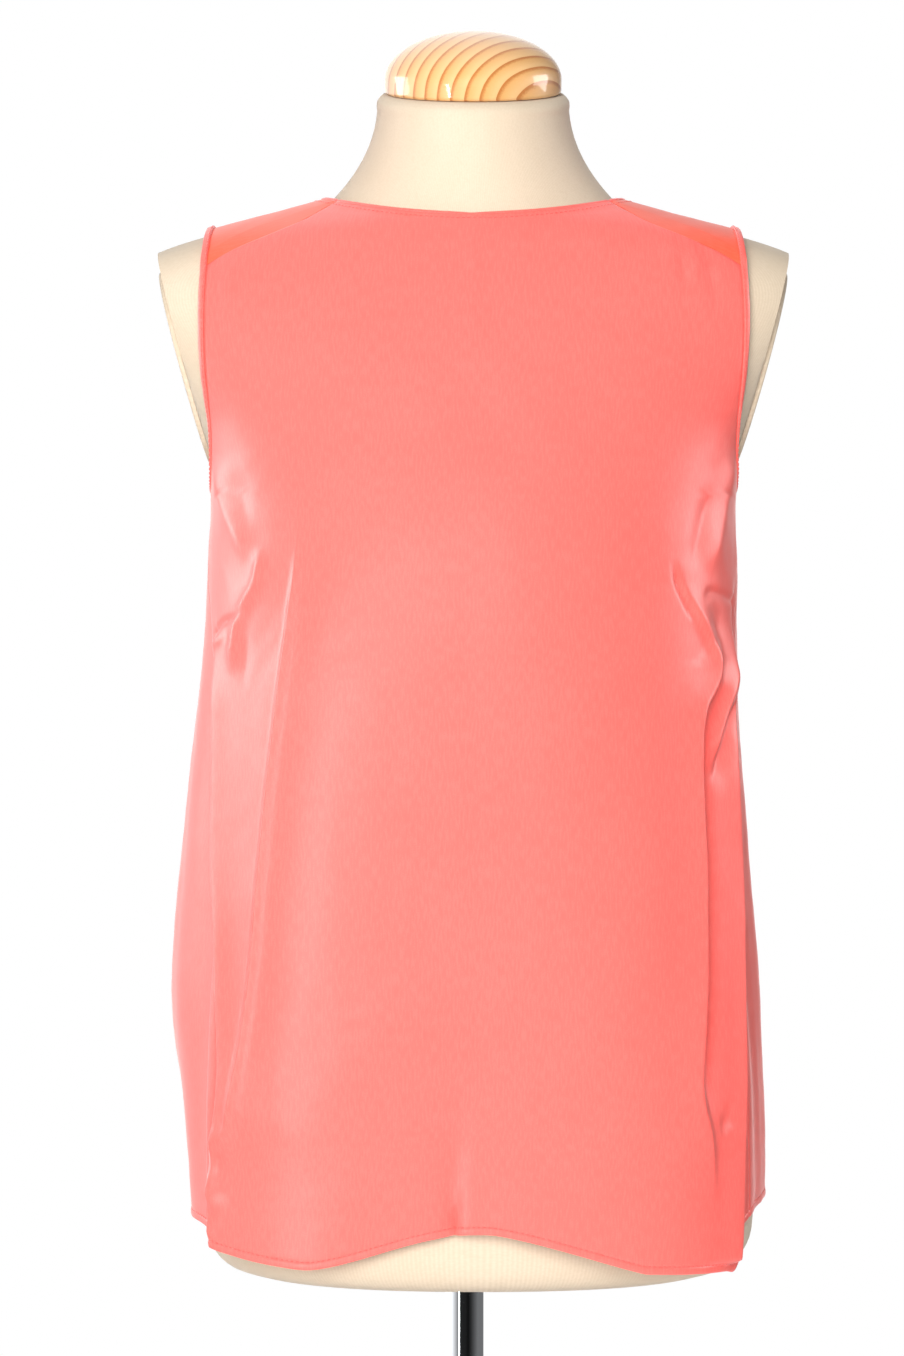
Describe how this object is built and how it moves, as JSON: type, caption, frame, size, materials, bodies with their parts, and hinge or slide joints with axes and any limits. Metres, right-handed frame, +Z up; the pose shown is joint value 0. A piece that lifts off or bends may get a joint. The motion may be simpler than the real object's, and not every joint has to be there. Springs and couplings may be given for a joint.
{
  "type": "sleeveless blouse on a limbless dress form",
  "caption": "Plain round-necked sleeveless shell blouse with a yoke and a curved hem, worn by a jersey dress form with a turned wooden neck cap on a chrome pole and round base.",
  "frame": {"origin": "on the floor, at the middle of the overall box's underside, under the form's neck", "axes": "+Z up the form, the blouse's front faces -Y, +X is the wearer's left"},
  "size_m": [0.3758, 0.3, 1.0389],
  "materials": {
    "coral_crepe": "smooth crepe",
    "yoke_crepe": "smooth crepe",
    "cream_jersey": "fine knit",
    "varnished_pine": "varnished",
    "chrome": "polished"
  },
  "bodies": {
    "root": {"front_panel": "coral_crepe", "back_panel": "coral_crepe", "neck_binding": "coral_crepe", "armhole_binding_left": "coral_crepe", "armhole_binding_right": "coral_crepe", "yoke": "yoke_crepe", "form_body": "cream_jersey", "arm_plate_left": "cream_jersey", "arm_plate_right": "cream_jersey", "neck_cap": "varnished_pine", "pole": "chrome", "pole_collar": "chrome", "base": "chrome"}
  },
  "joints": []
}
